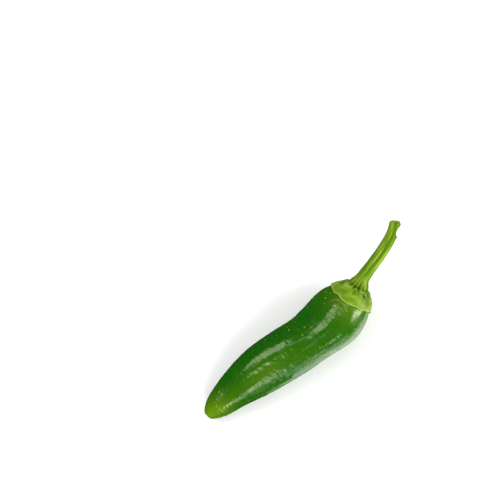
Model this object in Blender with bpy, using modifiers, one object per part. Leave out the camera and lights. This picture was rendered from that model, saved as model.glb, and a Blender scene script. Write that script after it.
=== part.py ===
"""A fresh green chilli pepper, lying on its side: the pod, the calyx that caps it, and the stem.

Metres, +Z up. The pod's tip points to -X and the stem to +X. The pepper rests on Z = 0, and the
origin is under the middle of its bounding box.

The pod and the calyx are first shaped upright, as if turned on a lathe, with the tip at Z = 0 and the
crown, where the stem stands, at Z = POD_LENGTH. They are then laid along the pepper's curved spine.
"""

import math

import bpy
import numpy as np
from mathutils import Vector

# ---- Pod: its length, and its radius at places along it
POD_LENGTH = 0.088
TIP_RADIUS = 0.0054
NOSE_RADIUS = 0.0077
BELLY_RADIUS = 0.0114
MIDDLE_RADIUS = 0.0118
WAIST_RADIUS = 0.0115
SHOULDER_RADIUS = 0.0134
TIP_ROUNDING = 0.009  # the length over which the tip closes
CROWN_ROUNDING = 0.018  # the length over which the shoulder closes
CROWN_FLAT = 0.0042  # radius of the level top that carries the calyx and the stem

# ---- Pod: how it lies and bends
TIP_LIFT = 0.0011  # how far the underside is off the surface at the tip
WAIST_LIFT = 0.0008
NECK_LIFT = 0.0013
CROWN_LIFT = 0.0034
TIP_SWING = -0.0008  # sideways offsets of the spine
NOSE_SWING = 0.0012
WAIST_SWING = -0.0007
SHOULDER_SWING = 0.0004
NECK_SWING = 0.0018
CROWN_SWING = 0.0040
REST_FLAT = 0.0005  # how far the soft underside is pressed flat where it rests

# ---- Pod: relief of the skin
LOBES = 3
LOBE_DEPTH = 0.00022
FURROW_DEPTH = 0.0006  # the long shallow valley along the pod's upper side
FURROW_HALF_ANGLE = math.radians(17)
FURROW_START_ANGLE = math.radians(88)
FURROW_TWIST = math.radians(26)

# ---- Calyx
JOINT_GAP = 0.0003  # drawn clearance between pieces that meet; flat facets narrow it to 0.15 mm in places
CALYX_THICKNESS = 0.0010
CALYX_REACH = math.radians(40)
CALYX_TEETH = 7
TOOTH_REACH = math.radians(3.5)
NOTCH_ANGLE = math.radians(62)  # where one of the notches between the teeth is
CALYX_LEAN = math.radians(5)  # its edge comes lower on the upper side than below

# ---- Stem
STEM_LENGTH = 0.034
FOOT_RADIUS = 0.0045
FOOT_HEIGHT = 0.0045  # the flare above the calyx
STEM_RADIUS = 0.0030  # just above the flare
STEM_END_RADIUS = 0.0024
STEM_MIDDLE_HEADING = math.radians(17.5)
STEM_END_HEADING = math.radians(42)
STEM_END_CLIMB = math.radians(10)

# ---- Fineness of the meshes
POD_ROWS = 44
POD_SIDES = 56
CALYX_ROWS = 9
CALYX_SIDES = 48
STEM_ROWS = 22
STEM_BEVEL_RESOLUTION = 6
SMALL_STEP = 1e-4  # share of the length over which slopes are measured
MERGE_DISTANCE = 1e-6
SHARP_ANGLE = math.radians(40)

UNDERSIDE = math.radians(-90)  # angles round the pod start at +Y and rise towards +Z
POD_BODY = (
    (0.0, TIP_RADIUS),
    (0.15, NOSE_RADIUS),
    (0.38, BELLY_RADIUS),
    (0.52, MIDDLE_RADIUS),
    (0.66, WAIST_RADIUS),
    (0.86, SHOULDER_RADIUS),
    (1.0, SHOULDER_RADIUS),
)
SPINE_SWING = (
    (0.0, TIP_SWING),
    (0.28, NOSE_SWING),
    (0.67, WAIST_SWING),
    (0.86, SHOULDER_SWING),
    (0.93, NECK_SWING),
    (1.0, CROWN_SWING),
)
SPINE_LIFT = (
    (0.0, TIP_LIFT),
    (0.36, 0.0),
    (0.62, WAIST_LIFT),
    (0.85, 0.0),
    (0.93, NECK_LIFT),
    (1.0, CROWN_LIFT),
)


def clear_scene():
    for leftover in list(bpy.data.objects):
        bpy.data.objects.remove(leftover, do_unlink=True)


def through(stations, place):
    """The value at a place from 0 to 1 of the smooth curve through (place, value) stations."""
    places = np.array([station[0] for station in stations])
    values = np.array([station[1] for station in stations])
    slopes = np.gradient(values, places, edge_order=2)
    after = int(np.clip(np.searchsorted(places, place), 1, len(places) - 1))
    before = after - 1
    span = places[after] - places[before]
    t = (place - places[before]) / span
    start = (2 * t**3 - 3 * t**2 + 1) * values[before] + (t**3 - 2 * t**2 + t) * span * slopes[before]
    end = (3 * t**2 - 2 * t**3) * values[after] + (t**3 - t**2) * span * slopes[after]
    return float(start + end)


def quarter_round(distance, length):
    """0 at a closed end and 1 from the given distance on, with the outline of a quarter ellipse."""
    left = 1 - min(max(distance / length, 0.0), 1.0)
    return math.sqrt(1 - left**2)


def pod_radius(place):
    """Mean radius of the pod at a place along it, from 0 at the tip to 1 at the crown."""
    body = through(POD_BODY, place) * quarter_round(place * POD_LENGTH, TIP_ROUNDING)
    return CROWN_FLAT + (body - CROWN_FLAT) * quarter_round((1 - place) * POD_LENGTH, CROWN_ROUNDING)


def skin_relief(place, angle):
    """How far the skin stands out of the mean radius: shallow lobes and the valley on the upper side."""
    fade = math.sin(math.pi * place)
    lobes = -LOBE_DEPTH * math.cos(LOBES * (angle - UNDERSIDE))
    furrow_angle = FURROW_START_ANGLE + FURROW_TWIST * place
    off_furrow = (angle - furrow_angle + math.pi) % math.tau - math.pi
    furrow = -FURROW_DEPTH * math.exp(-((off_furrow / FURROW_HALF_ANGLE) ** 2))
    return fade * (lobes + fade * furrow)


def spine_point(place):
    height = through(POD_BODY, place) + through(SPINE_LIFT, place)
    return Vector((place * POD_LENGTH, through(SPINE_SWING, place), height))


def spine_frame(place):
    """Origin, forward, sideways and upward directions of the pod's cross-section at a place."""
    low = min(max(place - SMALL_STEP, 0.0), 1.0 - SMALL_STEP)
    forward = (spine_point(low + SMALL_STEP) - spine_point(low)).normalized()
    sideways = Vector((0, 0, 1)).cross(forward).normalized()
    return spine_point(place), forward, sideways, forward.cross(sideways)


def laid_along_spine(x, y, z):
    """Where a point of the upright, turned shape ends up. Above the crown the spine runs on straight."""
    place = min(max(z / POD_LENGTH, 0.0), 1.0)
    origin, forward, sideways, upward = spine_frame(place)
    return origin + (z - place * POD_LENGTH) * forward + x * sideways + y * upward


def new_material(name, colour, roughness):
    material = bpy.data.materials.new(name)
    material.use_nodes = True
    shader = material.node_tree.nodes["Principled BSDF"]
    shader.inputs["Base Color"].default_value = (*colour, 1.0)
    shader.inputs["Roughness"].default_value = roughness
    shader.inputs["Metallic"].default_value = 0.0
    material.diffuse_color = (*colour, 1.0)
    return material


def mesh_of(thing):
    """The object's mesh with its modifiers applied."""
    bpy.context.view_layer.update()
    graph = bpy.context.evaluated_depsgraph_get()
    return bpy.data.meshes.new_from_object(thing.evaluated_get(graph))


def turned(name, outline, sides, collection):
    """An object turned round Z from an outline of (radius, height) points, from its top down its outside."""
    mesh = bpy.data.meshes.new(name)
    points = [(radius, 0.0, height) for radius, height in outline]
    edges = [(i, i + 1) for i in range(len(points) - 1)]
    mesh.from_pydata(points, edges, [])
    thing = bpy.data.objects.new(name, mesh)
    collection.objects.link(thing)
    screw = thing.modifiers.new("Turn", "SCREW")
    screw.steps = sides
    screw.render_steps = sides
    screw.use_merge_vertices = True
    screw.merge_threshold = MERGE_DISTANCE
    solid = mesh_of(thing)
    thing.modifiers.clear()
    thing.data = solid
    bpy.data.meshes.remove(mesh)
    solid.name = name
    return thing


def finish(thing, material):
    thing.data.materials.clear()
    thing.data.materials.append(material)
    if thing.type == "MESH":
        thing.data.shade_smooth()
        thing.data.set_sharp_from_angle(angle=SHARP_ANGLE)
    return thing


def build_pod(collection):
    """The fruit: a turned outline, given its relief, laid along the spine and pressed flat underneath."""
    steps = [(1 + math.cos(math.pi * row / POD_ROWS)) / 2 for row in range(POD_ROWS + 1)]
    outline = [(0.0, POD_LENGTH)]
    outline += [(pod_radius(place), place * POD_LENGTH) for place in steps[:-1]]
    outline += [(0.0, 0.0)]
    pod = turned("pod", outline, POD_SIDES, collection)
    for vertex in pod.data.vertices:
        x, y, z = vertex.co
        radius = math.hypot(x, y)
        grown = 1.0
        if radius > MERGE_DISTANCE:
            grown = 1 + skin_relief(z / POD_LENGTH, math.atan2(y, x)) / radius
        vertex.co = laid_along_spine(x * grown, y * grown, z)
    lowest = min(vertex.co.z for vertex in pod.data.vertices) + REST_FLAT
    for vertex in pod.data.vertices:
        vertex.co.z = max(vertex.co.z, lowest)
    return finish(pod, new_material("pod_skin", (0.032, 0.135, 0.004), 0.22))


def calyx_edge_angle(angle):
    """How far down the shoulder the calyx's edge comes, as an angle of the shoulder's rounding."""
    teeth = TOOTH_REACH * abs(math.sin(CALYX_TEETH * (angle - NOTCH_ANGLE) / 2))
    return CALYX_REACH + teeth + CALYX_LEAN * math.sin(angle)


def calyx_point(share, angle):
    """A point of the calyx's inner face, upright: share is 0 at its middle and 1 at its edge."""
    flat_share = CROWN_FLAT / SHOULDER_RADIUS
    if share <= flat_share:
        return share / flat_share * CROWN_FLAT, POD_LENGTH + JOINT_GAP
    around = (share - flat_share) / (1 - flat_share) * calyx_edge_angle(angle)
    width = SHOULDER_RADIUS - CROWN_FLAT
    outward = Vector((CROWN_ROUNDING * math.sin(around), width * math.cos(around))).normalized()
    radius = CROWN_FLAT + width * math.sin(around) + JOINT_GAP * outward.x
    height = POD_LENGTH - CROWN_ROUNDING * (1 - math.cos(around)) + JOINT_GAP * outward.y
    return radius, height


def build_calyx(collection):
    """The cap: a turned disc draped over the crown with a toothed edge, and thickened outwards."""
    outline = [(row / CALYX_ROWS, 0.0) for row in range(CALYX_ROWS + 1)]
    calyx = turned("calyx", outline, CALYX_SIDES, collection)
    for vertex in calyx.data.vertices:
        angle = math.atan2(vertex.co.y, vertex.co.x)
        radius, height = calyx_point(math.hypot(vertex.co.x, vertex.co.y), angle)
        vertex.co = laid_along_spine(radius * math.cos(angle), radius * math.sin(angle), height)
    shell = calyx.modifiers.new("Thickness", "SOLIDIFY")
    shell.thickness = CALYX_THICKNESS
    shell.offset = 1.0
    return finish(calyx, new_material("calyx_skin", (0.19, 0.33, 0.02), 0.45))


def stem_route():
    """The stem's centre line, as (point, radius) pairs from its foot on the calyx to its cut end."""
    foot = laid_along_spine(0.0, 0.0, POD_LENGTH + JOINT_GAP + CALYX_THICKNESS + JOINT_GAP)
    forward = spine_frame(1.0)[1]
    headings = (
        (0.0, math.atan2(forward.y, forward.x)),
        (0.5, STEM_MIDDLE_HEADING),
        (1.0, STEM_END_HEADING),
    )
    climb = math.asin(forward.z)
    step = STEM_LENGTH / STEM_ROWS
    route = []
    point = foot
    for row in range(STEM_ROWS + 1):
        share = row / STEM_ROWS
        flare = math.exp(-((share * STEM_LENGTH / FOOT_HEIGHT) ** 2) * 2)
        radius = STEM_RADIUS + (STEM_END_RADIUS - STEM_RADIUS) * share
        route.append((point, radius + (FOOT_RADIUS - STEM_RADIUS) * flare))
        turn = through(headings, share)
        rise = climb + (STEM_END_CLIMB - climb) * share
        ahead = (math.cos(turn) * math.cos(rise), math.sin(turn) * math.cos(rise), math.sin(rise))
        point = point + step * Vector(ahead)
    return route


def build_stem(collection):
    curve = bpy.data.curves.new("stem", "CURVE")
    curve.dimensions = "3D"
    curve.bevel_depth = STEM_RADIUS
    curve.bevel_resolution = STEM_BEVEL_RESOLUTION
    curve.use_fill_caps = True
    route = stem_route()
    spline = curve.splines.new("POLY")
    spline.points.add(len(route) - 1)
    for control, (point, radius) in zip(spline.points, route):
        control.co = (*point, 1.0)
        control.radius = radius / STEM_RADIUS
    spline.use_smooth = True
    stem = bpy.data.objects.new("stem", curve)
    collection.objects.link(stem)
    return finish(stem, new_material("stem_skin", (0.16, 0.29, 0.02), 0.5))


def stand_over_origin(pieces, collection):
    """Parents the pieces to an empty that brings the middle of their underside to the origin."""
    points = [vertex.co.copy() for piece in pieces for vertex in mesh_of(piece).vertices]
    low = [min(point[axis] for point in points) for axis in range(3)]
    high = [max(point[axis] for point in points) for axis in range(3)]
    holder = bpy.data.objects.new("chilli_pepper_origin", None)
    collection.objects.link(holder)
    holder.location = (-(low[0] + high[0]) / 2, -(low[1] + high[1]) / 2, -low[2])
    for piece in pieces:
        piece.parent = holder


def main():
    clear_scene()
    collection = bpy.data.collections.new("chilli_pepper")
    bpy.context.scene.collection.children.link(collection)
    pieces = [build_pod(collection), build_calyx(collection), build_stem(collection)]
    stand_over_origin(pieces, collection)


main()
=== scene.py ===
import math

import bpy
import numpy as np
from mathutils import Matrix, Vector, noise


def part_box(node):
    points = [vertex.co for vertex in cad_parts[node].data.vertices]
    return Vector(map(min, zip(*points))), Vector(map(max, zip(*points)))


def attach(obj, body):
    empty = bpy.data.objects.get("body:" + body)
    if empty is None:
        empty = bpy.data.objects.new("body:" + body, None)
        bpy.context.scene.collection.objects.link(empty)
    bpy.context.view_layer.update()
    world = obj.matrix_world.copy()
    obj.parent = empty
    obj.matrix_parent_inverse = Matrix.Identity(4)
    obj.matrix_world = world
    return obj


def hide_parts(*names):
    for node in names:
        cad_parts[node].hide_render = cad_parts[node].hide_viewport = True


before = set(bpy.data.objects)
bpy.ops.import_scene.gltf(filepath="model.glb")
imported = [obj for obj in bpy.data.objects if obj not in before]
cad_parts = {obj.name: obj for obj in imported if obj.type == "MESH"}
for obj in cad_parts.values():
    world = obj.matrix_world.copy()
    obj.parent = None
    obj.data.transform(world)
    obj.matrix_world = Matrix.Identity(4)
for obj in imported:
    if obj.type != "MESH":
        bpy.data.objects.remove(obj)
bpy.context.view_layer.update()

# A green chilli pepper lying on its side. Its three pieces are rebuilt here as fine meshes on the same
# spine and radii as the CAD pod, calyx and stem: metres, +X from the tip to the stem, +Z up.

# ---- Pod: the CAD model's sizes
POD_LENGTH = 0.088
CROWN_ROUNDING = 0.018
CROWN_FLAT = 0.0042
TIP_ROUNDING = 0.009
SHOULDER_RADIUS = 0.0134
POD_BODY = (
    (0.0, 0.0054),
    (0.15, 0.0077),
    (0.38, 0.0114),
    (0.52, 0.0118),
    (0.66, 0.0115),
    (0.86, SHOULDER_RADIUS),
    (1.0, SHOULDER_RADIUS),
)
SPINE_SWING = (
    (0.0, -0.0008),
    (0.28, 0.0012),
    (0.67, -0.0007),
    (0.86, 0.0004),
    (0.93, 0.0018),
    (1.0, 0.0040),
)
SPINE_LIFT = (
    (0.0, 0.0011),
    (0.36, 0.0),
    (0.62, 0.0008),
    (0.85, 0.0),
    (0.93, 0.0013),
    (1.0, 0.0034),
)
UNDERSIDE = math.radians(-90)  # angles round the pod start at +Y and rise towards +Z
SMALL_STEP = 1e-4

# ---- Pod: relief of the skin
LOBES = 3
LOBE_DEPTH = 0.00022
FURROW_DEPTH = 0.0009
FURROW_HALF_ANGLE = math.radians(15)
FURROW_START_ANGLE = math.radians(88)
FURROW_TWIST = math.radians(26)
LEAN_DEPTH = 0.0021  # the top of the shoulder leans to one side, over a ridge
LEAN_RIDGE_ANGLE = math.radians(143)
LEAN_PLACE = 0.75
LEAN_REACH = 0.15
TIP_TAPER = 0.14
TIP_TAPER_REACH = 0.11
TIP_DIMPLE_DEPTH = 0.0010
TIP_DIMPLE_RADIUS = 0.0012
END_FADE = 0.08  # the relief dies away over this share of the length at each end
CROWN_FADE = 0.16  # and the fine relief over this share at the crown

# A spot is a place along the pod, from 0 at the tip to 1 at the crown, and its reach along it, then an
# angle round the pod and its width, both in degrees.
TROUGH_DEPTH = 0.0006  # the belly is hollowed along its top
TROUGH_SPOT = (0.36, 0.20, 96, 24)
FACET_DEPTH = 0.0004  # and a little flat beside that hollow
FACET_SPOT = (0.38, 0.16, 120, 17)
TAUT_SPOT = (0.90, 0.08, 135, 32)
TAUT_SMOOTHING = 0.85  # share of the fine relief that is missing where the skin is taut

# A grain of noise is its length along the pod and its length round it, then its seed.
DENT_DEPTH = 0.0006
DENT_GRAIN = (0.013, 0.008, 1)
WRINKLE_DEPTH = 0.00016
WRINKLE_GRAIN = (0.0009, 0.0028, 2)
PUCKER_DEPTH = 0.00010
PUCKER_GRAIN = (0.0012, 0.0016, 3)
FOLD_DEPTH = 0.00008
FOLD_GRAIN = (0.016, 0.0020, 4)
PATCH_GRAIN = (0.011, 0.009, 9)

# ---- Pod: tones of the skin
YELLOW_BASE = 0.32
YELLOW_TIP = 0.75
YELLOW_TIP_REACH = 0.13
YELLOW_CROWN = 0.40
YELLOW_CROWN_REACH = 0.14
YELLOW_SPOTS = (  # amount, then the spot
    (0.10, (0.42, 0.30, 100, 14)),
    (0.20, (0.62, 0.22, 116, 11)),
    (0.15, (0.92, 0.07, 95, 50)),
)
# Painted shade: two bands along the whole pod are painted darker green, one on the flank between +Y and the
# top, one a narrow strip between the top and -Y.
PAINTED_SHADE_BANDS = (  # amount taken off along the whole pod, then angle and width in degrees
    (0.30, 30, 45),
    (0.22, 140, 14),
)
DULL_SPOT = (0.40, 0.17, 128, 22)

# ---- Fineness of the meshes
POD_ROWS = 300
POD_SIDES = 260
CALYX_SIDES = 360
CALYX_FLAT_ROWS = 14
CALYX_SLOPE_ROWS = 90
CALYX_RIM_ROWS = 8
CALYX_UNDER_ROWS = 12
STEM_ROWS = 320
STEM_SIDES = 112

# ---- Calyx: its places run from 0 at the stem's foot to 1 at the calyx's edge
CALYX_TEETH = 7
CALYX_REACH = math.radians(40)
TOOTH_REACH = math.radians(3.5)
NOTCH_ANGLE = math.radians(62)
CALYX_LEAN = math.radians(5)
JOINT_GAP = 0.0003
CALYX_THICKNESS = 0.0010
CALYX_TOP = JOINT_GAP + CALYX_THICKNESS
CALYX_UNDERSIDE = 0.00020
CALYX_MIDDLE_RADIUS = 0.0003
RIM_THICKNESS = 0.00042
RIM_ROLL = 0.00016  # the edge is rolled up by this much
RIM_TUCK = 0.00022  # and tucked down by this much
RIM_OVERHANG = 0.014
FOOT_FOLDS = 15  # small folds round the stem's foot
FOLD_HEIGHT = 0.00045
FOLD_REACH = 0.30
COLLAR_HEIGHT = 0.00040
CRACK_DEPTH = 0.00045
CRACK_WIDTH = 0.035
VEIN_HEIGHT = 0.00012
VEIN_WIDTH = 0.05
BUMP_HEIGHT = 0.00036
BUMP_HEIGHT_NEAR_STEM = 0.00034
BUMP_SIZE = 0.0026
CALYX_GRAIN_HEIGHT = 0.00006
CALYX_GRAIN_SIZE = 0.0008
MOUND_HEIGHT = 0.0006
MOUND_SPOT = (0.36, 0.13, 56, 15)
GROOVE_DEPTH = 0.0005
CALYX_GROOVES = (  # spots of the calyx
    (0.42, 0.16, 24, 5.0),
    (0.30, 0.22, 88, 4.5),
    (0.38, 0.14, 128, 5.0),
    (0.32, 0.12, 152, 4.0),
)

# ---- Stem
STEM_LENGTH = 0.034
FOOT_RADIUS = 0.0045
FOOT_HEIGHT = 0.0045
STEM_RADIUS = 0.0030
STEM_END_RADIUS = 0.0024
STEM_MIDDLE_HEADING = math.radians(17.5)
STEM_END_HEADING = math.radians(42)
STEM_END_CLIMB = math.radians(10)
END_FLARE = 0.0003
END_FLARE_REACH = 0.09
END_ROUNDING = 0.34  # share of the radius lost to the rounding of the cut end
END_ROUNDING_LENGTH = 0.0014

# Spots of the stem have a distance from its foot in metres as their place. Heights are shares of the radius.
STEM_SCARS = (
    (0.10, (0.0085, 0.0006, 80, 14)),
    (-0.12, (0.0094, 0.0005, 86, 12)),
    (0.08, (0.0068, 0.0007, 112, 16)),
)
RIBS = 5
RIB_HEIGHT = 0.034
FINE_RIBS = 9
FINE_RIB_HEIGHT = 0.018
STEM_GRAIN_HEIGHT = 0.05
LUMP_HEIGHT = 0.06
FOOT_FOLD_HEIGHT = 0.12
FOOT_FOLD_LENGTH = 0.0038
FOOT_SHADE_LENGTH = 0.003
SEAM_DEPTH = 0.05
SEAM_SPOT = (0.0165, 0.0060, 64, 7)
BITE_DEPTH = 0.5
BITE_SPOT = (STEM_LENGTH - 0.0040, 0.0016, 188, 42)
SLIVER_HEIGHT = 0.16
SLIVER_SPOT = (STEM_LENGTH - 0.0066, 0.0008, 186, 20)
STEM_GRAIN = (0.016, 0.0009, 6)
LUMP_GRAIN = (0.006, 0.004, 14)
LONG_FIBRE_GRAIN = (0.014, 0.0010, 31)
SHORT_FIBRE_GRAIN = (0.006, 0.0005, 32)
TORN_HEIGHT = 0.0003  # the cut end is a little torn
CUT_SLANT = 0.0002  # and a little slanted
CUT_RINGS = (  # share of the radius, and how far this ring of the cut face stands out
    (0.97, 0.0002),
    (0.90, 0.0003),
    (0.82, 0.0001),
    (0.6, -0.0002),
    (0.3, -0.0002),
)

# ---- Materials. A noise is its scale and detail, and sometimes how it is squeezed along X, Y and Z.
RIPENESS_NOISE = (55, 3, (0.55, 1, 1))
RIPENESS_SWING = 0.24
POD_GRAIN_NOISE = (900, 2)
POD_GRAIN_SHARE = 0.10
SPECKLE_NOISE = (560, 1)
SPECKLE_RANGE = (0.72, 0.78)
SPECKLE_SHARE = 0.55
POD_WRINKLE_NOISE = (420, 3, (2.4, 1, 1))
POD_WRINKLE_RANGE = (0.42, 0.64)
SMOOTH_ROUGHNESS = 0.14
WRINKLED_ROUGHNESS = 0.27
DULL_EXTRA_ROUGHNESS = 0.14
TAUT_EXTRA_ROUGHNESS = 0.05
TAUT_BUMP_SHARE = 0.15
CALYX_PATCH_NOISE = (240, 5)
CALYX_BUMP_NOISE = (1100, 3)
CALYX_ROUGHNESS = 0.42
CALYX_SPECULAR_LEVEL = 0.4
STEM_BLOTCH_NOISE = (150, 3)
STEM_BLOTCH_SWING = 0.16
STEM_BUMP_NOISE = (1300, 3)
STEM_ROUGHNESS = 0.45
STEM_SPECULAR_LEVEL = 0.14
FLOOR_COLOUR = (0.92, 0.92, 0.92, 1)
FLOOR_ROUGHNESS = 0.7
FLOOR_SPECULAR_LEVEL = 0.1

# The stops of each colour ramp, and the colours laid over it.
POD_GREENS = (
    (0.0, (0.0030, 0.085, 0.0002)),
    (0.35, (0.020, 0.105, 0.0004)),
    (0.65, (0.048, 0.138, 0.0005)),
    (1.0, (0.110, 0.240, 0.0006)),
)
POD_GRAIN_COLOUR = (0.07, 0.19, 0.004)
SPECKLE_COLOUR = (0.30, 0.42, 0.06)
CALYX_GREENS = (
    (0.3, (0.085, 0.195, 0.001)),
    (0.5, (0.138, 0.258, 0.002)),
    (0.7, (0.225, 0.350, 0.014)),
)
# Painted shade laid over the calyx's fold valleys, hollows, cracks, grooves and underside.
CALYX_PAINTED_SHADE_COLOUR = (0.035, 0.090, 0.004)
# Painted highlight laid over the calyx's fold crests, mound and rolled edge, and the colour of its slightly
# paler veins.
CALYX_HIGHLIGHT_AND_VEIN_COLOUR = (0.330, 0.500, 0.080)
STEM_GREENS = (
    (0.15, (0.078, 0.170, 0.001)),
    (0.5, (0.128, 0.236, 0.002)),
    (0.85, (0.225, 0.345, 0.022)),
)
# Painted shade laid over the stem's grooves, foot folds and seam.
STEM_PAINTED_SHADE_COLOUR = (0.050, 0.110, 0.006)
CUT_COLOUR = (0.300, 0.330, 0.120)
GLOSS_TINT = (1.0, 1.0, 0.68, 1.0)  # the waxy skin's gloss is a little green-yellow

# ---- Camera
CAMERA_ELEVATION = math.radians(80)
CAMERA_AZIMUTH = math.radians(-36.9)
CAMERA_DISTANCE = 0.60
CAMERA_FOCAL_MM = 100
SENSOR_MM = 36
AIM_ASIDE = -0.0533  # the camera aims this far to the side of the stem's foot
AIM_UP = 0.0207  # and this far up from it, both as the camera sees it

# ---- Stage
LIGHT_TARGET = Vector((0, 0, 0.012))
ALONG_POD = (1, 0, 0)
SOFTBOXES = (  # name, direction from the target, distance, size, radiance, direction of the first side
    ("band_softbox", (-0.20, 0.56, 0.80), 0.6, (0.45, 0.32), 4.6, ALONG_POD),
    ("bridge_softbox", (0.25, 0.15, 0.95), 0.6, (0.13, 0.15), 4.4, ALONG_POD),
    ("belly_softbox", (-0.45, -0.68, 0.60), 0.6, (0.22, 0.34), 7.6, ALONG_POD),
    ("key_softbox", (0.74, -0.56, 0.37), 0.7, (0.14, 0.52), 13.0, (0.6, 0.8, 0)),
    ("low_panel", (-0.08, -1.0, 0.07), 0.5, (0.22, 0.11), 3.6, ALONG_POD),
)
CARDS = (  # name, two (x, y) corners, radiance
    ("near_card", (-0.034, -0.026), (0.058, -0.0115), 0.8),
    ("far_card", (-0.020, -0.120), (0.058, -0.026), 2.4),
)
CARD_HEIGHT = 0.001
SURROUND_STRENGTH = 0.58
MIRRORED_SURROUND_STRENGTH = 0.03
FLOOR_HALF_SIZE = 1.5


def through(stations, place):
    """Values at places from 0 to 1 of the smooth curve through (place, value) stations."""
    places = np.array([station[0] for station in stations])
    values = np.array([station[1] for station in stations])
    slopes = np.gradient(values, places, edge_order=2)
    place = np.asarray(place, float)
    after = np.clip(np.searchsorted(places, place), 1, len(places) - 1)
    before = after - 1
    span = places[after] - places[before]
    t = (place - places[before]) / span
    start = (2 * t**3 - 3 * t**2 + 1) * values[before] + (t**3 - 2 * t**2 + t) * span * slopes[before]
    end = (3 * t**2 - 2 * t**3) * values[after] + (t**3 - t**2) * span * slopes[after]
    return start + end


def quarter_round(distance, length):
    left = 1 - np.clip(distance / length, 0.0, 1.0)
    return np.sqrt(1 - left**2)


def pod_radius(place):
    body = through(POD_BODY, place) * quarter_round(place * POD_LENGTH, TIP_ROUNDING)
    return CROWN_FLAT + (body - CROWN_FLAT) * quarter_round((1 - place) * POD_LENGTH, CROWN_ROUNDING)


def spine_points(place):
    height = through(POD_BODY, place) + through(SPINE_LIFT, place)
    return np.stack([place * POD_LENGTH, through(SPINE_SWING, place), height], axis=-1)


def unit(vectors):
    return vectors / np.linalg.norm(vectors, axis=-1, keepdims=True)


def spine_frames(place):
    low = np.clip(place - SMALL_STEP, 0.0, 1.0 - SMALL_STEP)
    forward = unit(spine_points(low + SMALL_STEP) - spine_points(low))
    sideways = unit(np.cross(np.array([0.0, 0.0, 1.0]), forward))
    return spine_points(place), forward, sideways, np.cross(forward, sideways)


def laid_along_spine(radius, angle, height):
    """Points of the upright shape, given as cylinder coordinates, once laid along the curved spine."""
    place = np.clip(height / POD_LENGTH, 0.0, 1.0)
    origin, forward, sideways, upward = spine_frames(place)
    beyond = (height - place * POD_LENGTH)[..., None] * forward
    across = (radius * np.cos(angle))[..., None] * sideways + (radius * np.sin(angle))[..., None] * upward
    return origin + beyond + across


def skin_relief(place, angle):
    fade = np.sin(math.pi * place)
    lobes = -LOBE_DEPTH * np.cos(LOBES * (angle - UNDERSIDE))
    off_furrow = (angle - FURROW_START_ANGLE - FURROW_TWIST * place + math.pi) % math.tau - math.pi
    furrow = -FURROW_DEPTH * np.exp(-((off_furrow / FURROW_HALF_ANGLE) ** 2))
    return fade * (lobes + fade * furrow)


def spread(value, middle, reach):
    """1 at the middle value, falling to 0 over the reach."""
    return np.exp(-(((value - middle) / reach) ** 2))


def bell(angle, middle, width):
    """1 at the middle angle, falling to 0 over the width, both in degrees."""
    off = (angle - math.radians(middle) + math.pi) % math.tau - math.pi
    return np.exp(-((off / math.radians(width)) ** 2))


def spot(place, angle, where):
    """1 at a spot (place, reach, degrees, width), falling to 0 all round it."""
    middle, reach, degrees, width = where
    return spread(place, middle, reach) * bell(angle, degrees, width)


def noise_field(points, seed):
    """Perlin noise at an array of points, the same for the same seed."""
    shift = Vector((seed * 7.31, seed * 3.17, seed * 5.03))
    flat = points.reshape(-1, 3)
    values = [noise.noise(Vector(point) + shift) for point in flat]
    return np.array(values).reshape(points.shape[:-1])


def skin_noise(along, radius, angle, grain):
    """Noise over a long round body, with a grain (length along it, length round it, seed)."""
    along_size, around_size, seed = grain
    across, up = radius * np.cos(angle) / around_size, radius * np.sin(angle) / around_size
    return noise_field(np.stack([along / along_size, across, up], axis=-1), seed)


def circle_points(angle):
    """Points of a circle of radius 1, for noise that goes round the stem and closes."""
    return np.stack([np.cos(angle), np.sin(angle), np.zeros_like(angle)], axis=-1)


def grid_faces(rows, sides):
    """Quads between rings of points that follow each other, each ring closed."""
    faces = []
    for row in range(rows - 1):
        for side in range(sides):
            after = (side + 1) % sides
            low, high = row * sides, (row + 1) * sides
            faces.append((low + side, low + after, high + after, high + side))
    return faces


def new_piece(name, points, faces, material):
    mesh = bpy.data.meshes.new(name)
    mesh.from_pydata([tuple(point) for point in points], [], faces)
    mesh.validate()
    mesh.shade_smooth()
    mesh.materials.append(material)
    piece = bpy.data.objects.new(name, mesh)
    bpy.context.scene.collection.objects.link(piece)
    return piece


def capped(rings):
    """Points and faces of a closed body from rings, (rows, sides, 3), with a point at each end's middle."""
    rows, sides, _ = rings.shape
    points = np.concatenate([rings.reshape(-1, 3), rings[:1].mean(axis=1), rings[-1:].mean(axis=1)])
    faces = grid_faces(rows, sides)
    first, last = rows * sides, rows * sides + 1
    for side in range(sides):
        after = (side + 1) % sides
        faces.append((first, after, side))
        faces.append((last, (rows - 1) * sides + side, (rows - 1) * sides + after))
    return points, faces


def set_tone(piece, name, values):
    attribute = piece.data.attributes.new(name, "FLOAT", "POINT")
    attribute.data.foreach_set("value", np.asarray(values, np.float32).ravel())


# ------------------------------------------------------------------ materials

def new_material(name):
    material = bpy.data.materials.new(name)
    material.use_nodes = True
    tree = material.node_tree
    return material, tree, tree.nodes["Principled BSDF"]


def add_node(tree, kind, **values):
    node = tree.nodes.new(kind)
    for key, value in values.items():
        setattr(node, key, value)
    return node


def colour_ramp(tree, factor, stops):
    ramp = add_node(tree, "ShaderNodeValToRGB")
    elements = ramp.color_ramp.elements
    while len(elements) < len(stops):
        elements.new(0.5)
    for element, (position, colour) in zip(elements, stops):
        element.position = position
        element.color = (*colour, 1.0)
    tree.links.new(factor, ramp.inputs["Fac"])
    return ramp.outputs["Color"]


def mixed(tree, factor, first, second):
    node = add_node(tree, "ShaderNodeMix", data_type="RGBA")
    tree.links.new(factor, node.inputs["Factor"])
    for value, socket in ((first, node.inputs["A"]), (second, node.inputs["B"])):
        if hasattr(value, "node"):
            tree.links.new(value, socket)
        else:
            socket.default_value = (*value, 1.0)
    return node.outputs["Result"]


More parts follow.
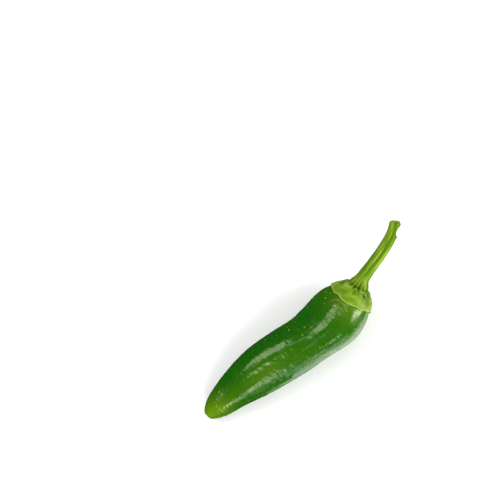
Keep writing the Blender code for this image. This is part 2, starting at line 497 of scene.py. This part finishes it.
def noise_texture(tree, scale, detail, stretch=(1, 1, 1)):
    place = add_node(tree, "ShaderNodeTexCoord")
    mapping = add_node(tree, "ShaderNodeMapping")
    mapping.inputs["Scale"].default_value = stretch
    tree.links.new(place.outputs["Object"], mapping.inputs["Vector"])
    texture = add_node(tree, "ShaderNodeTexNoise")
    texture.inputs["Scale"].default_value = scale
    texture.inputs["Detail"].default_value = detail
    tree.links.new(mapping.outputs["Vector"], texture.inputs["Vector"])
    return texture.outputs["Fac"]


def tone(tree, name):
    return add_node(tree, "ShaderNodeAttribute", attribute_name=name).outputs["Fac"]


def maths(tree, operation, first, second):
    node = add_node(tree, "ShaderNodeMath", operation=operation)
    for value, socket in ((first, node.inputs[0]), (second, node.inputs[1])):
        if hasattr(value, "node"):
            tree.links.new(value, socket)
        else:
            socket.default_value = value
    return node.outputs[0]


def mapped(tree, value, low, high, new_low, new_high):
    node = add_node(tree, "ShaderNodeMapRange")
    tree.links.new(value, node.inputs["Value"])
    for name, number in (("From Min", low), ("From Max", high), ("To Min", new_low), ("To Max", new_high)):
        node.inputs[name].default_value = number
    return node.outputs["Result"]


def add_bump(tree, shader, height, strength, distance):
    bump = add_node(tree, "ShaderNodeBump")
    bump.inputs["Strength"].default_value = strength
    bump.inputs["Distance"].default_value = distance
    tree.links.new(height, bump.inputs["Height"])
    tree.links.new(bump.outputs["Normal"], shader.inputs["Normal"])


def pod_material():
    material, tree, shader = new_material("pod_skin")
    patches = noise_texture(tree, *RIPENESS_NOISE)
    fine = noise_texture(tree, *POD_GRAIN_NOISE)
    # The ramp follows the skin's yellowing, which also holds two bands of painted shade along the pod.
    yellowing_and_painted_shade = tone(tree, "yellowing_and_painted_shade")
    swing = mapped(tree, patches, 0.3, 0.7, -RIPENESS_SWING, RIPENESS_SWING)
    ripeness_and_painted_shade = maths(tree, "ADD", yellowing_and_painted_shade, swing)
    colour = colour_ramp(tree, ripeness_and_painted_shade, POD_GREENS)
    colour = mixed(tree, mapped(tree, fine, 0.35, 0.65, 0.0, POD_GRAIN_SHARE), colour, POD_GRAIN_COLOUR)
    speckles = noise_texture(tree, *SPECKLE_NOISE)
    speckled = mapped(tree, speckles, *SPECKLE_RANGE, 0.0, SPECKLE_SHARE)
    colour = mixed(tree, speckled, colour, SPECKLE_COLOUR)
    tree.links.new(colour, shader.inputs["Base Color"])
    wrinkles = noise_texture(tree, *POD_WRINKLE_NOISE)
    roughness = mapped(tree, wrinkles, *POD_WRINKLE_RANGE, SMOOTH_ROUGHNESS, WRINKLED_ROUGHNESS)
    dull = mapped(tree, tone(tree, "dull"), 0, 1, 0, DULL_EXTRA_ROUGHNESS)
    roughness = maths(tree, "ADD", roughness, dull)
    taut = mapped(tree, tone(tree, "taut"), 0, 1, 0, TAUT_EXTRA_ROUGHNESS)
    roughness = maths(tree, "ADD", roughness, taut)
    tree.links.new(roughness, shader.inputs["Roughness"])
    shader.inputs["Specular Tint"].default_value = GLOSS_TINT
    bump_share = mapped(tree, tone(tree, "taut"), 0, 1, 1.0, TAUT_BUMP_SHARE)
    height = maths(tree, "MULTIPLY", wrinkles, bump_share)
    add_bump(tree, shader, height, 0.5, 0.00025)
    return material


def calyx_material():
    material, tree, shader = new_material("calyx_skin")
    patches = noise_texture(tree, *CALYX_PATCH_NOISE)
    colour = colour_ramp(tree, patches, CALYX_GREENS)
    # Painted shade: the calyx is darkened in its fold valleys, bump hollows, cracks and grooves, under the
    # stem's foot and on its hidden underside.
    colour = mixed(tree, tone(tree, "painted_crease_shade"), colour, CALYX_PAINTED_SHADE_COLOUR)
    # Painted highlight: paler on the fold crests, the mound and the rolled edge; the veins are slightly
    # paler too.
    colour = mixed(tree, tone(tree, "painted_highlight_and_veins"), colour, CALYX_HIGHLIGHT_AND_VEIN_COLOUR)
    tree.links.new(colour, shader.inputs["Base Color"])
    shader.inputs["Roughness"].default_value = CALYX_ROUGHNESS
    shader.inputs["Specular IOR Level"].default_value = CALYX_SPECULAR_LEVEL
    shader.inputs["Specular Tint"].default_value = GLOSS_TINT
    add_bump(tree, shader, noise_texture(tree, *CALYX_BUMP_NOISE), 0.4, 0.0002)
    return material


def stem_material():
    material, tree, shader = new_material("stem_skin")
    blotches = noise_texture(tree, *STEM_BLOTCH_NOISE)
    fibre = tone(tree, "fibre")
    swing = mapped(tree, blotches, 0.3, 0.7, -STEM_BLOTCH_SWING, STEM_BLOTCH_SWING)
    pale = maths(tree, "ADD", fibre, swing)
    colour = colour_ramp(tree, pale, STEM_GREENS)
    # Painted shade: the stem is darkened in its rib grooves, the folds at its foot and along its seam.
    colour = mixed(tree, tone(tree, "painted_crease_shade"), colour, STEM_PAINTED_SHADE_COLOUR)
    colour = mixed(tree, tone(tree, "cut"), colour, CUT_COLOUR)
    tree.links.new(colour, shader.inputs["Base Color"])
    shader.inputs["Roughness"].default_value = STEM_ROUGHNESS
    shader.inputs["Specular IOR Level"].default_value = STEM_SPECULAR_LEVEL
    shader.inputs["Specular Tint"].default_value = GLOSS_TINT
    add_bump(tree, shader, noise_texture(tree, *STEM_BUMP_NOISE), 0.3, 0.0002)
    return material


def floor_material():
    material, _, shader = new_material("floor")
    shader.inputs["Base Color"].default_value = FLOOR_COLOUR
    shader.inputs["Roughness"].default_value = FLOOR_ROUGHNESS
    shader.inputs["Specular IOR Level"].default_value = FLOOR_SPECULAR_LEVEL
    return material


# ------------------------------------------------------------------ pieces

def large_relief(place, angle, radius):
    """The lean of the shoulder, the hollow and the flat of the belly, and dents, all on the upper side."""
    fade = np.clip(np.minimum(place, 1 - place) / END_FADE, 0, 1)
    upper = np.clip((np.sin(angle) + 0.5) / 0.9, 0, 1)
    lean = LEAN_DEPTH * spread(place, LEAN_PLACE, LEAN_REACH) * np.cos(2 * (angle - LEAN_RIDGE_ANGLE))
    trough = TROUGH_DEPTH * spot(place, angle, TROUGH_SPOT)
    facet = FACET_DEPTH * spot(place, angle, FACET_SPOT)
    dents = DENT_DEPTH * skin_noise(place * POD_LENGTH, radius, angle, DENT_GRAIN)
    return upper * fade * (lean - trough - facet + dents)


def fine_relief(place, angle, radius):
    """Wrinkles, puckers and folds, weaker towards both ends and where the skin is taut."""
    along = place * POD_LENGTH
    crinkled = np.clip(np.minimum(place / END_FADE, (1 - place) / CROWN_FADE), 0, 1)
    crinkled = crinkled * (1 - TAUT_SMOOTHING * spot(place, angle, TAUT_SPOT))
    wrinkles = WRINKLE_DEPTH * skin_noise(along, radius, angle, WRINKLE_GRAIN)
    puckered = PUCKER_DEPTH * skin_noise(along, radius, angle, PUCKER_GRAIN)
    folds = FOLD_DEPTH * skin_noise(along, radius, angle, FOLD_GRAIN)
    patchy = np.clip(0.6 + 1.6 * skin_noise(along, radius, angle, PATCH_GRAIN), 0.15, 1.3)
    return crinkled * (patchy * (wrinkles + puckered) + folds)


def pod_rings():
    """Rings of the skin from the tip to the crown, closer together at both ends."""
    even = np.linspace(0, 1, POD_ROWS)
    place = 0.5 * (1 - np.cos(math.pi * even)) / 2 + 0.5 * even
    angle = np.linspace(-math.pi, math.pi, POD_SIDES, endpoint=False)
    place, angle = np.meshgrid(place, angle, indexing="ij")
    smooth = pod_radius(place) * (1 - TIP_TAPER * spread(place, 0, TIP_TAPER_REACH))
    radius = smooth + skin_relief(place, angle)
    radius = radius + large_relief(place, angle, smooth) + fine_relief(place, angle, smooth)
    dimple = TIP_DIMPLE_DEPTH * spread(radius, 0, TIP_DIMPLE_RADIUS) * (place < 0.5)
    return laid_along_spine(radius, angle, place * POD_LENGTH + dimple), place, angle


def pod_yellowing_and_painted_shade(place, angle):
    """How yellow the skin is, from 0 to about 1, less two bands of painted shade along the pod."""
    yellowing_and_painted_shade = YELLOW_BASE + YELLOW_TIP * spread(place, 0, YELLOW_TIP_REACH)
    yellowing_and_painted_shade += YELLOW_CROWN * spread(place, 1, YELLOW_CROWN_REACH)
    for amount, where in YELLOW_SPOTS:
        yellowing_and_painted_shade += amount * spot(place, angle, where)
    # Painted shade: the skin is made darker green along two bands that run the whole length of the pod.
    for amount, degrees, width in PAINTED_SHADE_BANDS:
        yellowing_and_painted_shade -= amount * bell(angle, degrees, width)
    return yellowing_and_painted_shade


def build_pod(shift):
    rings, place, angle = pod_rings()
    points, faces = capped(rings)
    points = points + shift
    points[:, 2] = np.maximum(points[:, 2], 0.0)
    pod = new_piece("pod_flesh", points, faces, pod_material())
    tip_and_crown = [0.9, 0.6]
    # This yellowing tone also carries the painted shade of the two dark bands.
    set_tone(pod, "yellowing_and_painted_shade", np.append(pod_yellowing_and_painted_shade(place, angle).ravel(), tip_and_crown))
    set_tone(pod, "dull", np.append(spot(place, angle, DULL_SPOT).ravel(), [0, 0]))
    set_tone(pod, "taut", np.append(spot(place, angle, TAUT_SPOT).ravel(), [0, 0]))
    return pod


def skin_point(depth, angle, lift):
    """Points over the crown: depth is the angle down the shoulder's rounding, lift the height over it."""
    width = SHOULDER_RADIUS - CROWN_FLAT
    outward = unit(np.stack([CROWN_ROUNDING * np.sin(depth), width * np.cos(depth)], axis=-1))
    radius = CROWN_FLAT + width * np.sin(depth) + lift * outward[..., 0]
    height = POD_LENGTH - CROWN_ROUNDING * (1 - np.cos(depth)) + lift * outward[..., 1]
    return laid_along_spine(radius, angle, height)


def puckers(angle):
    """The ring of small folds where the stem's foot meets the calyx, from -1 to 1 round the stem."""
    circle = 1.6 * circle_points(angle)
    waves = np.cos(FOOT_FOLDS * angle + 4.5 * noise_field(circle, 12))
    return waves * np.clip(0.75 + 1.2 * noise_field(2 * circle, 13), 0.2, 1.2)


def calyx_edge(angle):
    """How far the calyx reaches down the shoulder, as an angle of the shoulder's rounding."""
    teeth = np.abs(np.sin(CALYX_TEETH * (angle - NOTCH_ANGLE) / 2)) ** 0.7
    circle = circle_points(angle)
    uneven = math.radians(5) * noise_field(1.3 * circle, 7) + math.radians(2) * noise_field(5 * circle, 8)
    short_sides = math.radians(5) * bell(angle, 138, 26) + math.radians(3) * bell(angle, 15, 30)
    return CALYX_REACH + TOOTH_REACH * teeth + CALYX_LEAN * np.sin(angle) + uneven - short_sides


def calyx_cracks(angle):
    """The places of the cracks round the stem's foot, and how open they are."""
    circle = circle_points(angle)
    place = 0.40 + 0.22 * noise_field(2.5 * circle, 21)
    return place, np.clip(0.35 + 1.6 * noise_field(1.7 * circle, 22), 0, 1)


def calyx_slope_row(place, angle, edge):
    """One ring of the calyx's upper side, and its painted shade and painted highlight round the ring."""
    folds = puckers(angle)
    crack_place, open_share = calyx_cracks(angle)
    to_vein = ((angle - NOTCH_ANGLE) * CALYX_TEETH / math.tau + 0.5) % 1 - 0.5
    vein = spread(to_vein, 0, VEIN_WIDTH)
    grooves = sum(spot(place, angle, groove) for groove in CALYX_GROOVES)
    mound = spot(place, angle, MOUND_SPOT)
    cracks = spread(place, crack_place, CRACK_WIDTH) * open_share
    collar = open_share / (1 + np.exp((place - crack_place) / 0.02))
    near_stem = spread(place, 0, FOLD_REACH)
    swell = math.sin(math.pi * place) ** 0.6
    lift = CALYX_TOP + (RIM_THICKNESS + JOINT_GAP - CALYX_TOP) * place
    smooth = skin_point(place * edge, angle, lift)
    bumps = noise_field(smooth / BUMP_SIZE, 5)
    grain = noise_field(smooth / CALYX_GRAIN_SIZE, 6)
    lift = lift + FOLD_HEIGHT * folds * near_stem * min(1.0, 6 * place + 0.3)
    lift = lift + COLLAR_HEIGHT * collar - CRACK_DEPTH * cracks
    lift = lift + swell * (BUMP_HEIGHT + BUMP_HEIGHT_NEAR_STEM * near_stem) * bumps
    lift = lift + swell * (VEIN_HEIGHT * vein + CALYX_GRAIN_HEIGHT * grain)
    lift = lift + RIM_ROLL * spread(place, 1, 0.05) + MOUND_HEIGHT * mound - GROOVE_DEPTH * grooves
    # Painted shade in the fold valleys, the bump hollows, the cracks and the grooves.
    dark = 0.7 * np.clip(-folds, 0, 1) * near_stem + 0.42 * np.clip(-2 * bumps, 0, 1) * swell
    dark = dark + 0.9 * cracks + 0.9 * grooves
    # Painted highlight on the fold crests, the rolled edge and the mound, and slightly paler veins.
    pale = 0.5 * np.clip(folds, 0, 1) * near_stem + 0.16 * vein * swell
    pale = pale + 0.70 * spread(place, 1, 0.03) + 0.5 * mound
    return skin_point(place * edge, angle, lift), dark, pale


def calyx_rows(angle):
    """Rings of the calyx from the middle of its top to its edge and back below, each with its painted shade
    and painted highlight.
    """
    edge = calyx_edge(angle)
    everywhere = np.ones_like(angle)
    rows = []
    # The top under the stem's foot gets painted shade, the rolled edge some painted shade and painted
    # highlight, the underside full painted shade.
    for row in range(CALYX_FLAT_ROWS):
        radius = CALYX_MIDDLE_RADIUS + (CROWN_FLAT - CALYX_MIDDLE_RADIUS) * row / CALYX_FLAT_ROWS
        height = POD_LENGTH + CALYX_TOP
        rows.append((laid_along_spine(radius * everywhere, angle, height * everywhere), 0.6, 0.0))
    for row in range(CALYX_SLOPE_ROWS + 1):
        rows.append(calyx_slope_row(row / CALYX_SLOPE_ROWS, angle, edge))
    for row in range(1, CALYX_RIM_ROWS):
        turn = math.pi * row / CALYX_RIM_ROWS
        lift = JOINT_GAP + RIM_ROLL + RIM_THICKNESS * (1 + math.cos(turn)) / 2
        lift = lift - RIM_TUCK * (1 - math.cos(turn)) / 2
        reach = edge * (1 + RIM_OVERHANG * math.sin(turn))
        rows.append((skin_point(reach, angle, lift * everywhere), 0.25, 0.4))
    for row in range(CALYX_UNDER_ROWS, -1, -1):
        reach = edge * row / CALYX_UNDER_ROWS
        rows.append((skin_point(reach, angle, CALYX_UNDERSIDE * everywhere), 1.0, 0.0))
    height = POD_LENGTH + CALYX_UNDERSIDE
    rows.append((laid_along_spine(CALYX_MIDDLE_RADIUS * everywhere, angle, height * everywhere), 1.0, 0.0))
    return rows


def build_calyx(shift):
    angle = np.linspace(-math.pi, math.pi, CALYX_SIDES, endpoint=False)
    rows = calyx_rows(angle)
    points, faces = capped(np.array([ring for ring, _, _ in rows]))
    faces = [tuple(reversed(face)) for face in faces]
    calyx = new_piece("calyx_cap", points + shift, faces, calyx_material())
    # Painted shade of each ring, as a tone for the material.
    painted_crease_shade = np.array([np.broadcast_to(dark, angle.shape) for _, dark, _ in rows])
    # Painted highlight and paler veins of each ring, as a tone for the material.
    painted_highlight_and_veins = np.array([np.broadcast_to(pale, angle.shape) for _, _, pale in rows])
    set_tone(calyx, "painted_crease_shade", np.append(painted_crease_shade.ravel(), [1, 1]))
    set_tone(calyx, "painted_highlight_and_veins", np.append(painted_highlight_and_veins.ravel(), [0, 0]))
    return calyx


def stem_line(count):
    """Points and directions of the stem's centre line, from its foot to its cut end."""
    foot_height = POD_LENGTH + 2 * JOINT_GAP + CALYX_THICKNESS
    foot = laid_along_spine(np.zeros(1), np.zeros(1), np.array([foot_height]))[0]
    forward = spine_frames(np.array([1.0]))[1][0]
    climb = math.asin(forward[2])
    foot_heading = math.atan2(forward[1], forward[0])
    headings = ((0.0, foot_heading), (0.5, STEM_MIDDLE_HEADING), (1.0, STEM_END_HEADING))
    share = np.linspace(0, 1, count)
    turn = through(headings, share)
    rise = climb + (STEM_END_CLIMB - climb) * share
    ahead = np.stack([np.cos(turn) * np.cos(rise), np.sin(turn) * np.cos(rise), np.sin(rise)], axis=-1)
    step = STEM_LENGTH / (count - 1)
    points = foot + np.concatenate([np.zeros((1, 3)), np.cumsum(ahead[:-1], axis=0) * step])
    return points, ahead, share


def stem_radius(share, along):
    """The plain radius: wide at the foot, a little flared and then rounded off at the cut end."""
    foot_flare = np.exp(-2 * (along / FOOT_HEIGHT) ** 2)
    radius = STEM_RADIUS + (STEM_END_RADIUS - STEM_RADIUS) * share + (FOOT_RADIUS - STEM_RADIUS) * foot_flare
    radius = radius + END_FLARE * spread(share, 1, END_FLARE_REACH)
    into_rounding = np.clip(1 - (STEM_LENGTH - along) / END_ROUNDING_LENGTH, 0, 1)
    return radius * (1 - END_ROUNDING * into_rounding**2.2)


def stem_relief(share, along, radius, angle):
    """The relief as shares of the radius, and the painted shade in its grooves, the folds at its foot and
    its seam.
    """
    ribs = RIB_HEIGHT * np.cos(RIBS * angle + 0.9 * share)
    ribs = ribs + FINE_RIB_HEIGHT * np.cos(FINE_RIBS * angle + 1.3 - share)
    folds = puckers(angle[0])
    grain = STEM_GRAIN_HEIGHT * skin_noise(along, radius, angle, STEM_GRAIN)
    lumps = LUMP_HEIGHT * skin_noise(along, radius, angle, LUMP_GRAIN)
    scars = sum(height * spot(along, angle, where) for height, where in STEM_SCARS)
    seam = spot(along, angle, SEAM_SPOT)
    bite = np.minimum(1.4 * spot(along, angle, BITE_SPOT), 1)
    sliver = spot(along, angle, SLIVER_SPOT)
    foot_folds = FOOT_FOLD_HEIGHT * folds * spread(along, 0, FOOT_FOLD_LENGTH)
    relief = ribs + foot_folds + grain + lumps + scars - SEAM_DEPTH * seam
    relief = relief + SLIVER_HEIGHT * sliver - BITE_DEPTH * bite
    # Painted shade in the low places of the ribs and grain, in the foot's folds and along the seam.
    dark = 0.5 * np.clip(-(ribs / 0.07 + 9 * grain), 0, 1)
    dark = dark + np.clip(-folds, 0, 1) * spread(along, 0, FOOT_SHADE_LENGTH) + 0.6 * seam
    return relief, dark


def stem_fibres(along, radius, angle):
    """Pale and dark fibres along the stem, round a middle tone of 0.5."""
    long_fibres = skin_noise(along, radius, angle, LONG_FIBRE_GRAIN)
    short_fibres = skin_noise(along, radius, angle, SHORT_FIBRE_GRAIN)
    return 0.5 + 0.9 * long_fibres + 0.6 * short_fibres


def cut_face_rings(end, middle, ahead):
    """Rings of the cut face inwards from the stem's last ring: a raised lip round a shallow hollow."""
    return np.array([middle + out * ahead + (end - middle) * reach for reach, out in CUT_RINGS])


def build_stem(shift):
    line, ahead, share = stem_line(STEM_ROWS)
    sideways = unit(np.cross(np.array([0.0, 0.0, 1.0]), ahead))[:, None]
    upward = np.cross(ahead[:, None], sideways)
    angle = np.linspace(-math.pi, math.pi, STEM_SIDES, endpoint=False)
    share, angle = np.meshgrid(share, angle, indexing="ij")
    along = share * STEM_LENGTH
    radius = stem_radius(share, along)
    relief, dark = stem_relief(share, along, radius, angle)
    across = np.cos(angle)[..., None] * sideways + np.sin(angle)[..., None] * upward
    rings = line[:, None] + (radius * (1 + relief))[..., None] * across
    torn = TORN_HEIGHT * noise_field(across[-1] * 2.2, 15) - CUT_SLANT * np.cos(angle[-1])
    rings[-1] = rings[-1] + torn[:, None] * ahead[-1]
    face = cut_face_rings(rings[-1], line[-1], ahead[-1])
    points, faces = capped(np.concatenate([rings, face]))
    stem = new_piece("stem_stalk", points + shift, faces, stem_material())
    face_shape = face.shape[:2]
    # Painted shade of the stem's sides, none on the cut face.
    painted_crease_shade = np.concatenate([dark, np.zeros(face_shape)])
    fibre = np.concatenate([stem_fibres(along, radius, angle), np.full(face_shape, 0.5)])
    cut = np.concatenate([np.zeros(angle.shape), np.ones(face_shape)])
    cut[STEM_ROWS - 2 : STEM_ROWS + 1] = 0.5
    set_tone(stem, "painted_crease_shade", np.append(painted_crease_shade.ravel(), [1, 0]))
    set_tone(stem, "fibre", np.append(fibre.ravel(), [0.5, 0.5]))
    set_tone(stem, "cut", np.append(cut.ravel(), [0, 1]))
    return stem


def frame_shift():
    """From the spine's own coordinates to the frame's, where the CAD pod lies."""
    place = np.linspace(0, 1, 400)[:, None]
    angle = np.linspace(-math.pi, math.pi, 180, endpoint=False)[None]
    place, angle = np.broadcast_arrays(place, angle)
    radius = pod_radius(place) + skin_relief(place, angle)
    smooth = laid_along_spine(radius, angle, place * POD_LENGTH)
    low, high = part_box("pod")
    own_low, own_high = smooth.min(axis=(0, 1)), smooth.max(axis=(0, 1))
    middle = (np.array(low) + np.array(high)) / 2 - (own_low + own_high) / 2
    return np.array([middle[0], middle[1], high[2] - own_high[2]])


# ------------------------------------------------------------------ stage

def view_directions():
    """Right, up and towards-the-camera directions of the picture."""
    right = Vector((math.cos(CAMERA_AZIMUTH), math.sin(CAMERA_AZIMUTH), 0))
    away = Vector((-math.sin(CAMERA_AZIMUTH), math.cos(CAMERA_AZIMUTH), 0))
    towards = -math.cos(CAMERA_ELEVATION) * away + Vector((0, 0, math.sin(CAMERA_ELEVATION)))
    return right, towards.cross(right), towards


def add_camera(target):
    right, up, towards = view_directions()
    camera = bpy.data.objects.new("camera", bpy.data.cameras.new("camera"))
    bpy.context.scene.collection.objects.link(camera)
    camera.data.lens = CAMERA_FOCAL_MM
    camera.data.sensor_width = SENSOR_MM
    rotation = Matrix((right, up, towards)).transposed()
    camera.matrix_world = Matrix.Translation(target + towards * CAMERA_DISTANCE) @ rotation.to_4x4()
    bpy.context.scene.camera = camera


def add_softbox(name, direction, distance, size, radiance, along):
    """A rectangular light in a direction from the pepper, facing it."""
    light = bpy.data.lights.new(name, "AREA")
    light.shape = "RECTANGLE"
    light.size, light.size_y = size
    light.energy = radiance * math.pi * size[0] * size[1]
    lamp = bpy.data.objects.new(name, light)
    lamp.visible_camera = False
    bpy.context.scene.collection.objects.link(lamp)
    direction = Vector(direction).normalized()
    along = Vector(along)
    side = (along - along.dot(direction) * direction).normalized()
    rotation = Matrix((side, direction.cross(side), direction)).transposed()
    lamp.matrix_world = Matrix.Translation(LIGHT_TARGET + direction * distance) @ rotation.to_4x4()


def add_card(name, low, high, radiance):
    """A bright card on the table between two (x, y) corners, which the lower side of the pod mirrors."""
    light = bpy.data.lights.new(name, "AREA")
    light.shape = "RECTANGLE"
    light.size, light.size_y = high[0] - low[0], high[1] - low[1]
    light.energy = radiance * math.pi * light.size * light.size_y
    card = bpy.data.objects.new(name, light)
    card.visible_camera = False
    card.location = ((low[0] + high[0]) / 2, (low[1] + high[1]) / 2, CARD_HEIGHT)
    card.rotation_euler.x = math.pi
    bpy.context.scene.collection.objects.link(card)


def add_world():
    """A pale surround that lights the scene evenly, but is dim in the gloss, as black flags make it."""
    world = bpy.data.worlds.new("studio")
    world.use_nodes = True
    world.cycles.sampling_method = "NONE"
    tree = world.node_tree
    background = tree.nodes["Background"]
    background.inputs["Color"].default_value = (1, 1, 1, 1)
    mirrored = add_node(tree, "ShaderNodeLightPath").outputs["Is Glossy Ray"]
    strength = mapped(tree, mirrored, 0, 1, SURROUND_STRENGTH, MIRRORED_SURROUND_STRENGTH)
    tree.links.new(strength, background.inputs["Strength"])
    bpy.context.scene.world = world


def add_floor():
    mesh = bpy.data.meshes.new("floor")
    half = FLOOR_HALF_SIZE
    corners = [(-half, -half, 0), (half, -half, 0), (half, half, 0), (-half, half, 0)]
    mesh.from_pydata(corners, [], [(0, 1, 2, 3)])
    mesh.materials.append(floor_material())
    floor = bpy.data.objects.new("floor", mesh)
    bpy.context.scene.collection.objects.link(floor)
    floor.visible_glossy = False


def main():
    shift = frame_shift()
    pieces = (
        (build_pod(shift), "pod", "pod_skin"),
        (build_calyx(shift), "calyx", "calyx_skin"),
        (build_stem(shift), "stem", "stem_skin"),
    )
    for piece, node, slot in pieces:
        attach(piece, "root")
        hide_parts(node)
    right, up, _ = view_directions()
    stem_foot = Vector(stem_line(STEM_ROWS)[0][0] + shift)
    add_camera(stem_foot + AIM_ASIDE * right + AIM_UP * up)
    add_floor()
    add_world()
    for softbox in SOFTBOXES:
        add_softbox(*softbox)
    for card in CARDS:
        add_card(*card)
    bpy.context.scene.view_settings.view_transform = "Standard"


main()
